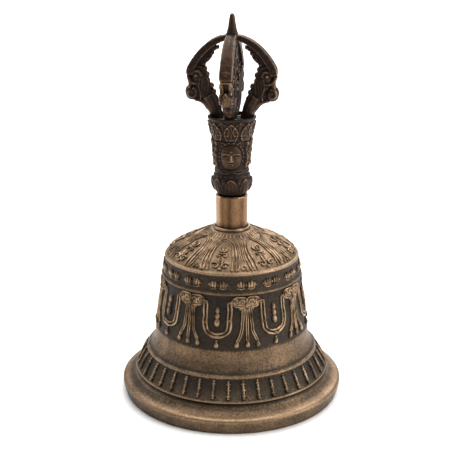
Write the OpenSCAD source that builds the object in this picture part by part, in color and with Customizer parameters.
// Hand bell with a half-thunderbolt handle: a cast bell on a neck sleeve, a cast grip with a
// four-pronged cage, and a clapper that hangs on a link from an eye bolt through the crown.
// Millimetres, +Z up, origin at the centre of the mouth plane.

/* [Bell shell] */
// Diameter across the lip
lip_dia = 100; // [84:1:124]
// Height from the mouth plane to the flat top of the crown
bell_h = 76.2; // [64:0.2:94]
// Height of the upright edge of the lip
lip_edge_h = 6.2; // [4:0.1:8]
// Inward lean of the lip's edge at the mouth plane
lip_undercut = 1.3; // [0.5:0.1:2]
// Radial width of the sloping shelf above the lip
shelf_run = 5.7; // [4:0.1:8]
// Rise of the shelf up to the lower cord line
shelf_rise = 5.5; // [4:0.1:8]
// Radial run of the sloping band of small uprights
upright_band_run = 5.2; // [4:0.1:6]
// Height of the band of small uprights
upright_band_h = 9.1; // [7:0.1:12]
// Radial run of the plain cove above the bead line
cove_run = 3.7; // [2:0.1:5]
// Height of the plain cove
cove_h = 10.5; // [8:0.1:13]
// Narrowing of the radius over the frieze
frieze_batter = 3.45; // [2:0.05:5]
// Height of the girdle between the frieze and the shoulder
girdle_h = 8.3; // [6:0.1:11]
// Narrowing of the radius over the girdle
girdle_batter = 1.3; // [0.5:0.1:2.5]
// Rise of the dome from the shoulder to the crown
dome_rise = 12.1; // [9:0.1:16]
// Extra height of the dome's middle over a straight cone
dome_crown = 1.0; // [0.2:0.1:2]
// Thickness of the wall
wall_t = 3.6; // [2.6:0.1:4.6]
// Width of the flat ring that the bell stands on
rest_ring_w = 5.2; // [4:0.1:6.5]
// Thickness of the dome
dome_t = 4.0; // [3:0.1:5]
// Radius of the section of the raised lines
line_r = 0.7; // [0.4:0.05:1]

/* [Neck] */
// Outside diameter of the neck sleeve
sleeve_dia = 14.1; // [12:0.1:18]
// Thickness of the sleeve's wall
sleeve_wall = 1.0; // [0.7:0.1:1.6]
// Length of the sleeve
sleeve_h = 15.4; // [12:0.1:20]
// Radial gap between the sleeve and what sits in it
sleeve_gap = 0.15; // [0.05:0.05:0.3]
// Height of the boss on the crown that the sleeve drops over
boss_h = 3.0; // [2:0.1:5]
// Radius of the section of the brazed ring round the sleeve's foot
braze_r = 1.0; // [0.6:0.1:1.4]

/* [Grip casting] */
// Widest diameter of the vase at the bottom of the grip
vase_dia = 17.6; // [15.5:0.1:22]
// Height of the vase
vase_h = 11.0; // [9:0.1:14]
// Diameter of the waist above the vase
grip_waist_dia = 15.6; // [14.5:0.1:18]
// Height of the section with the face
face_h = 13.2; // [11:0.1:17]
// Diameter at the top of the section with the face
face_dia = 17.6; // [15.5:0.1:21]
// Height of the flared cup
cup_h = 10.0; // [8:0.1:13]
// Diameter across the cup's rim
cup_dia = 21.2; // [18.6:0.1:26]
// Thickness of the cup's rim
cup_wall = 1.3; // [0.9:0.1:1.8]
// Depth of the cup
cup_depth = 3.6; // [2.5:0.1:5]

/* [Prong cage] */
// Diameter across the snouts of two opposite prongs
cage_dia = 40.6; // [34:0.1:49]
// Height of the prongs above the cup's rim
cage_h = 34.4; // [29:0.1:42]
// Width of a prong
prong_w = 5.2; // [4.2:0.1:6.4]
// Diameter of the centre prong's shaft
centre_dia = 5.4; // [4.6:0.1:6.5]
// Height of the spire above the prongs
spire_h = 8.8; // [6:0.1:14]
// Gap between pieces of the cage
cage_gap = 0.1; // [0.05:0.05:0.2]
// Space between a prong's foot and the cup's wall, which solder fills
foot_play = 0.9; // [0.6:0.1:1.2]
// Height of the solder bed in the cup
solder_h = 2.4; // [1.5:0.1:3]

/* [Eye bolt and its fixings] */
// Diameter of the eye bolt
bolt_dia = 6; // [5:0.1:7]
// Radial clearance of the eye bolt in the crown
bolt_gap = 0.3; // [0.1:0.05:0.6]
// Radial clearance of the eye bolt in the nut and the grip
thread_gap = 0.05; // [0.03:0.01:0.1]
// Depth that the eye bolt reaches into the grip
bolt_reach = 24; // [18:0.5:30]
// Diameter of the crown washer
washer_dia = 14; // [12:0.1:17]
// Thickness of the crown washer
washer_t = 1.2; // [0.8:0.1:2]
// Width across the flats of the crown nut
nut_flats = 10; // [9:0.1:12]
// Thickness of the crown nut
nut_t = 5; // [4:0.1:6]
// Length of plain bolt between the nut and the eye
bolt_tail = 2.2; // [1:0.1:4]
// Outside diameter of the eye
eye_dia = 9.4; // [8.6:0.1:11.2]
// Diameter of the hole in the eye
eye_hole_dia = 4.8; // [4.4:0.1:5.6]
// Thickness of the eye
eye_t = 3.0; // [2:0.1:3.6]

/* [Clapper] */
// Diameter of the link's wire
link_wire_dia = 1.8; // [1.4:0.1:2]
// Width of the link between the middles of its sides
link_w = 8.0; // [7.4:0.1:10]
// Height of the link between the middles of its ends
link_h = 11.0; // [9:0.1:14]
// Bend radius at the link's corners
link_corner_r = 1.9; // [1.5:0.1:2.2]
// Gap that a hanging piece keeps from what holds it
hang_gap = 0.1; // [0.05:0.05:0.2]
// Diameter of the wire of the clapper's eye
loop_wire_dia = 2.0; // [1.6:0.1:2.4]
// Inside diameter of the clapper's eye
loop_hole_dia = 4.0; // [3.6:0.1:5]
// Diameter of the clapper's shank
shank_dia = 3.6; // [2.8:0.1:4.4]
// Diameter of the bob
bob_dia = 15; // [12:0.1:18]
// Height of the bob's middle above the mouth plane
bob_z = 13.5; // [11.5:0.1:18]
// Height of the bob's collar above its ball
bob_collar_h = 5; // [3:0.1:8]
// Length of the peened rivet head below the bob
rivet_h = 1.4; // [0.8:0.1:2]

/* [Hidden] */
$fn = 96;

BRONZE = "#8a6f52";
DARK_COPPER = "#3f342c";
SOLDER = "#5a5148";
IRON = "#55504c";
BRASS = "#a07c48";

// Radii and heights of the shell's stations, from the mouth up
lip_r = lip_dia / 2;
mouth_r = lip_r - lip_undercut;
cord_r = lip_r - 1 - shelf_run;
cord_z = lip_edge_h + shelf_rise;
bead_r = cord_r - upright_band_run;
bead_z = cord_z + upright_band_h;
waist_r = bead_r - cove_run;
waist_z = bead_z + cove_h;
shoulder_z = bell_h - dome_rise;
girdle_z = shoulder_z - girdle_h;
girdle_r = waist_r - frieze_batter;
shoulder_r = girdle_r - girdle_batter;

// Neck and grip
sleeve_r = sleeve_dia / 2;
sleeve_bore_r = sleeve_r - sleeve_wall;
tang_r = sleeve_bore_r - sleeve_gap;
crown_flat_r = sleeve_r + 2 * braze_r;
boss_top_z = bell_h + boss_h;
sleeve_top_z = bell_h + sleeve_h;
vase_z = sleeve_top_z + 0.7;
grip_waist_z = vase_z + vase_h;
face_top_z = grip_waist_z + face_h;
rim_z = face_top_z + cup_h;
cup_r = cup_dia / 2;
cup_in_r = cup_r - cup_wall;
cup_floor_z = rim_z - cup_depth;

// Cage: the prongs' feet and tops stand round the shaft's two seats, clear of one another
centre_r = centre_dia / 2;
seat_r = max(centre_r, prong_w / 2);
foot_in_r = seat_r + cage_gap;
foot_out_r = cup_in_r - foot_play;
cage_top_z = rim_z + cage_h;
spire_z = cage_top_z + spire_h;

// Eye bolt: its eye hangs below the washer and the nut
ceiling_z = bell_h - dome_t;
washer_r = washer_dia / 2;
nut_bottom_z = ceiling_z - washer_t - nut_t;
eye_r = eye_dia / 2;
eye_z = nut_bottom_z - bolt_tail - eye_r;
bolt_r = bolt_dia / 2;

// Link and clapper: each rests on the wire or the hole that it hangs from
link_wire_r = link_wire_dia / 2;
link_top_z = eye_z - eye_hole_dia / 2 + hang_gap + link_wire_r;
link_bottom_z = link_top_z - link_h;
loop_wire_r = loop_wire_dia / 2;
loop_top_z = link_bottom_z + link_wire_r + hang_gap + loop_wire_r;
loop_R = loop_hole_dia / 2 + loop_wire_r;
loop_z = loop_top_z - loop_R;
bob_r = bob_dia / 2;

// Points along a cubic Bezier curve, without its first point
function bezier(a, b, c, d, steps = 8) = [
    for (i = [1 : steps]) let (t = i / steps, s = 1 - t)
        s * s * s * a + 3 * s * s * t * b + 3 * s * t * t * c + t * t * t * d
];

// Points of a smooth curve through a list of points
function through(points, steps = 4) = let (last = len(points) - 1) concat([points[0]], [
    for (i = [0 : last - 1]) let (
        a = points[max(i - 1, 0)], b = points[i], c = points[i + 1], d = points[min(i + 2, last)]
    ) each bezier(b, b + (c - a) / 6, c - (d - b) / 6, c, steps)
]);

// Outer outline of the bell from the mouth to the crown
function shell_outside() = concat(
    [[mouth_r, 0]],
    bezier(
        [mouth_r, 0],
        [mouth_r + lip_undercut * 0.7, 1.2],
        [lip_r, lip_edge_h * 0.5],
        [lip_r, lip_edge_h * 0.8],
        6
    ),
    bezier(
        [lip_r, lip_edge_h * 0.8],
        [lip_r, lip_edge_h],
        [lip_r - 0.6, lip_edge_h + 0.3],
        [lip_r - 1.4, lip_edge_h + 0.4],
        6
    ),
    bezier(
        [lip_r - 1.4, lip_edge_h + 0.4],
        [lip_r - 3.6, lip_edge_h + 0.9],
        [cord_r + 1.6, cord_z - 3],
        [cord_r, cord_z]
    ),
    [[bead_r, bead_z]],
    bezier([bead_r, bead_z], [bead_r - 2.2, bead_z + 3.6], [waist_r + 0.5, bead_z + 5], [waist_r, waist_z]),
    bezier(
        [waist_r, waist_z],
        [waist_r - 0.9, waist_z + 7],
        [girdle_r + 0.8, girdle_z - 8],
        [girdle_r, girdle_z]
    ),
    bezier(
        [girdle_r, girdle_z],
        [girdle_r - 0.4, girdle_z + 3],
        [shoulder_r + 0.5, shoulder_z - 3],
        [shoulder_r, shoulder_z]
    ),
    bezier(
        [shoulder_r, shoulder_z],
        [shoulder_r - 0.2, shoulder_z + 1.4],
        [shoulder_r - 0.9, shoulder_z + 2],
        [shoulder_r - 2.6, shoulder_z + 2.9],
        4
    ),
    bezier(
        [shoulder_r - 2.6, shoulder_z + 2.9],
        [shoulder_r - 9, shoulder_z + 6.3 + dome_crown / 2],
        [crown_flat_r + 5, bell_h - 2.2 + dome_crown / 2],
        [crown_flat_r, bell_h]
    )
);

// Inner outline of the bell from the ceiling down to the mouth
function shell_inside() = concat(
    [[crown_flat_r, ceiling_z]],
    bezier(
        [crown_flat_r, ceiling_z],
        [crown_flat_r + 6, ceiling_z - 2],
        [shoulder_r - wall_t - 3, shoulder_z],
        [shoulder_r - wall_t, shoulder_z - 5]
    ),
    [[girdle_r - wall_t, girdle_z]],
    bezier(
        [girdle_r - wall_t, girdle_z],
        [girdle_r - wall_t + 1, girdle_z - 9],
        [waist_r - wall_t - 1, waist_z + 7],
        [waist_r - wall_t, waist_z]
    ),
    bezier(
        [waist_r - wall_t, waist_z],
        [waist_r - wall_t + 0.8, waist_z - 6],
        [bead_r - wall_t - 1.4, bead_z + 3.4],
        [bead_r - wall_t - 0.3, bead_z]
    ),
    bezier(
        [bead_r - wall_t - 0.3, bead_z],
        [bead_r - wall_t + 2.6, bead_z - 6],
        [mouth_r - rest_ring_w - 3, 5],
        [mouth_r - rest_ring_w, 0]
    )
);

// A raised round line round the bell
module raised_line(r, z, section_r) {
    translate([0, 0, z]) rotate_extrude() translate([r, 0]) circle(r = section_r, $fn = 24);
}

module bell_shell() {
    color(BRONZE) {
        difference() {
            union() {
                rotate_extrude()
                    polygon(concat(shell_outside(), [[0, bell_h], [0, ceiling_z]], shell_inside()));
                cylinder_between(sleeve_bore_r - sleeve_gap, ceiling_z + 1, boss_top_z);
                raised_line(cord_r - line_r / 3, cord_z, line_r);
                raised_line(bead_r - line_r / 3, bead_z, line_r);
                raised_line(girdle_r - line_r / 3, girdle_z, line_r);
            }
            cylinder_between(bolt_r + bolt_gap, ceiling_z - 1, boss_top_z + 1);
        }
    }
}

// A cylinder on the axis from one height to another
module cylinder_between(r, z0, z1) {
    translate([0, 0, z0]) cylinder(r = r, h = z1 - z0);
}

module braze_ring() {
    color(BRONZE) difference() {
        raised_line(sleeve_r + braze_r, bell_h + braze_r * 0.8, braze_r);
        cylinder_between(sleeve_r, bell_h - 2, bell_h + 3 * braze_r);
        cylinder_between(crown_flat_r + braze_r, bell_h - 2, bell_h);
    }
}

module neck_sleeve() {
    color(BRONZE) difference() {
        cylinder_between(sleeve_r, bell_h, sleeve_top_z);
        cylinder_between(sleeve_bore_r, bell_h - 1, sleeve_top_z + 1);
    }
}

// Outline of the grip from the tang's end up to the cup's rim
function grip_outside() = concat(
    [[tang_r, boss_top_z], [tang_r, vase_z]],
    through([
        [sleeve_r - 0.2, vase_z],
        [vase_dia / 2 - 0.9, vase_z + vase_h * 0.2],
        [vase_dia / 2, vase_z + vase_h * 0.48],
        [vase_dia / 2 - 0.2, vase_z + vase_h * 0.7],
        [grip_waist_dia / 2, grip_waist_z],
        [grip_waist_dia / 2 + 0.7, grip_waist_z + face_h * 0.4],
        [face_dia / 2, grip_waist_z + face_h * 0.78],
        [face_dia / 2 - 0.3, face_top_z],
        [cup_r - 1.2, face_top_z + cup_h * 0.35],
        [cup_r - 0.3, face_top_z + cup_h * 0.72],
        [cup_r, rim_z - 1]
    ]),
    [[cup_r - 0.2, rim_z]]
);

module grip_casting() {
    color(DARK_COPPER) difference() {
        rotate_extrude() polygon(concat(grip_outside(), [[0, rim_z], [0, boss_top_z]]));
        cylinder_between(cup_in_r, cup_floor_z, rim_z + 1);
        cylinder_between(bolt_r + thread_gap, boss_top_z - 1, boss_top_z + bolt_reach + 1);
    }
}

// Side view of a prong, drawn with its radius along X and its height along Y. Its heights are
// shares of the cage's height, and its radii are shares of the way from the shaft to the snout.
function prong_outline() = let (
    r = function (share) foot_in_r + share * (cage_dia / 2 - foot_in_r),
    h = function (share) rim_z + share * cage_h
) concat(
    [[foot_in_r, cup_floor_z], [foot_out_r, cup_floor_z], [foot_out_r, rim_z]],
    through([
        [foot_out_r + 0.9, h(0.03)],
        [r(0.53), h(0.13)],
        [r(0.64), h(0.175)],
        [r(0.92), h(0.205)],
        [r(1), h(0.25)],
        [r(0.98), h(0.32)],
        [r(0.885), h(0.395)],
        [r(0.945), h(0.48)],
        [r(0.99), h(0.585)],
        [r(0.94), h(0.62)],
        [r(0.78), h(0.735)],
        [r(0.57), h(0.855)],
        [r(0.32), h(0.94)],
        [foot_in_r, cage_top_z]
    ], 3),
    through([
        [foot_in_r, h(0.855)],
        [r(0.16), h(0.835)],
        [r(0.31), h(0.79)],
        [r(0.395), h(0.7)],
        [r(0.525), h(0.625)],
        [r(0.43), h(0.56)],
        [r(0.395), h(0.46)],
        [r(0.33), h(0.4)],
        [r(0.24), h(0.34)],
        [r(0.22), h(0.2)],
        [r(0.14), h(0.08)],
        [r(0.07), rim_z]
    ], 3),
    [[foot_in_r, rim_z - 1]]
);

// A prong that points away from the axis at the given angle from +X
module prong(angle) {
    color(DARK_COPPER) rotate([0, 0, angle]) rotate([90, 0, 0])
        linear_extrude(height = prong_w, center = true) polygon(prong_outline());
}

module centre_prong() {
    color(DARK_COPPER) rotate_extrude() polygon(concat(
        [[0, cup_floor_z], [seat_r, cup_floor_z], [seat_r, rim_z]],
        through([
            [centre_r - 0.6, rim_z + cage_h * 0.12],
            [centre_r, rim_z + cage_h * 0.3],
            [centre_r, rim_z + cage_h * 0.5],
            [centre_r - 0.8, rim_z + cage_h * 0.7],
            [seat_r, rim_z + cage_h * 0.86]
        ]),
        through([
            [seat_r, cage_top_z],
            [centre_r * 0.74, cage_top_z + spire_h * 0.35],
            [centre_r * 0.5, cage_top_z + spire_h * 0.85],
            [centre_r * 0.3, spire_z - 0.25]
        ]),
        [[0, spire_z]]
    ));
}

module cup_solder() {
    slot_w = prong_w + 2 * cage_gap;
    color(SOLDER) difference() {
        cylinder_between(cup_in_r, cup_floor_z, cup_floor_z + solder_h);
        cylinder_between(foot_in_r, cup_floor_z - 1, cup_floor_z + solder_h + 1);
        for (angle = [0, 90, 180, 270])
            rotate([0, 0, angle])
                translate([0, -slot_w / 2, cup_floor_z - 1])
                    cube([foot_out_r + cage_gap, slot_w, solder_h + 2]);
    }
}

// A disc round the middle of the bolt's eye, with its axis along Y
module crosswise_disc(r, thickness) {
    translate([0, 0, eye_z]) rotate([90, 0, 0]) cylinder(r = r, h = thickness, center = true);
}

module eye_bolt() {
    color(IRON) {
        difference() {
            union() {
                cylinder_between(bolt_r, eye_z + eye_r - 1, boss_top_z + bolt_reach);
                crosswise_disc(eye_r, eye_t);
            }
            crosswise_disc(eye_hole_dia / 2, eye_dia);
        }
    }
}

module crown_washer() {
    color(IRON) difference() {
        cylinder_between(washer_r, ceiling_z - washer_t, ceiling_z);
        cylinder_between(bolt_r + bolt_gap, ceiling_z - washer_t - 1, ceiling_z + 1);
    }
}

module crown_nut() {
    color(IRON) difference() {
        translate([0, 0, nut_bottom_z]) cylinder(r = nut_flats / sqrt(3), h = nut_t, $fn = 6);
        cylinder_between(bolt_r + thread_gap, nut_bottom_z - 1, nut_bottom_z + nut_t + 1);
    }
}

// A quarter bend of the link's wire, from one side to one end
module link_bend(angle) {
    rotate([0, 0, angle]) rotate_extrude(angle = 90) translate([link_corner_r, 0])
        circle(r = link_wire_r, $fn = 32);
}

// The link lies in the YZ plane, with straight ends along Y and straight sides along Z
module clapper_link() {
    half_w = link_w / 2 - link_corner_r;
    half_h = link_h / 2 - link_corner_r;
    color(IRON) translate([0, 0, link_top_z - link_h / 2]) rotate([90, 0, 90]) union() {
        for (side = [1, -1]) {
            translate([side * link_w / 2, 0, 0]) rotate([90, 0, 0])
                cylinder(r = link_wire_r, h = 2 * half_h, center = true, $fn = 32);
            translate([0, side * link_h / 2, 0]) rotate([0, 90, 0])
                cylinder(r = link_wire_r, h = 2 * half_w, center = true, $fn = 32);
        }
        translate([half_w, half_h, 0]) link_bend(0);
        translate([-half_w, half_h, 0]) link_bend(90);
        translate([-half_w, -half_h, 0]) link_bend(180);
        translate([half_w, -half_h, 0]) link_bend(270);
    }
}

module clapper_shank() {
    shank_top_z = loop_z - loop_R;
    color(IRON) union() {
        translate([0, 0, loop_z]) rotate([90, 0, 0]) rotate_extrude() translate([loop_R, 0])
            circle(r = loop_wire_r, $fn = 32);
        cylinder_between(shank_dia / 2, bob_z - bob_r - rivet_h, shank_top_z);
        translate([0, 0, shank_top_z - 1.6]) cylinder(r1 = shank_dia / 2, r2 = loop_wire_r, h = 2.2);
        cylinder_between(shank_dia / 2 + 0.9, bob_z - bob_r - rivet_h, bob_z - bob_r);
    }
}

module clapper_bob() {
    hole_r = shank_dia / 2 + thread_gap;
    color(BRASS) difference() {
        rotate_extrude() polygon(concat(
            [[0, bob_z - bob_r], [hole_r + 0.9, bob_z - bob_r]],
            through([
                [hole_r + 1.6, bob_z - bob_r + 0.3],
                [bob_r * 0.78, bob_z - bob_r * 0.62],
                [bob_r, bob_z],
                [bob_r * 0.8, bob_z + bob_r * 0.6],
                [bob_r * 0.42, bob_z + bob_r],
                [hole_r + 1.3, bob_z + bob_r + bob_collar_h * 0.6],
                [hole_r + 1.5, bob_z + bob_r + bob_collar_h]
            ]),
            [[0, bob_z + bob_r + bob_collar_h]]
        ));
        cylinder_between(hole_r, bob_z - 2 * bob_r, bob_z + 2 * bob_r + bob_collar_h);
    }
}

bell_shell();
braze_ring();
neck_sleeve();
grip_casting();
cup_solder();
prong(0);  // prong_right
prong(90);  // prong_back
prong(180);  // prong_left
prong(270);  // prong_front
centre_prong();
eye_bolt();
crown_washer();
crown_nut();
clapper_link();
clapper_shank();
clapper_bob();
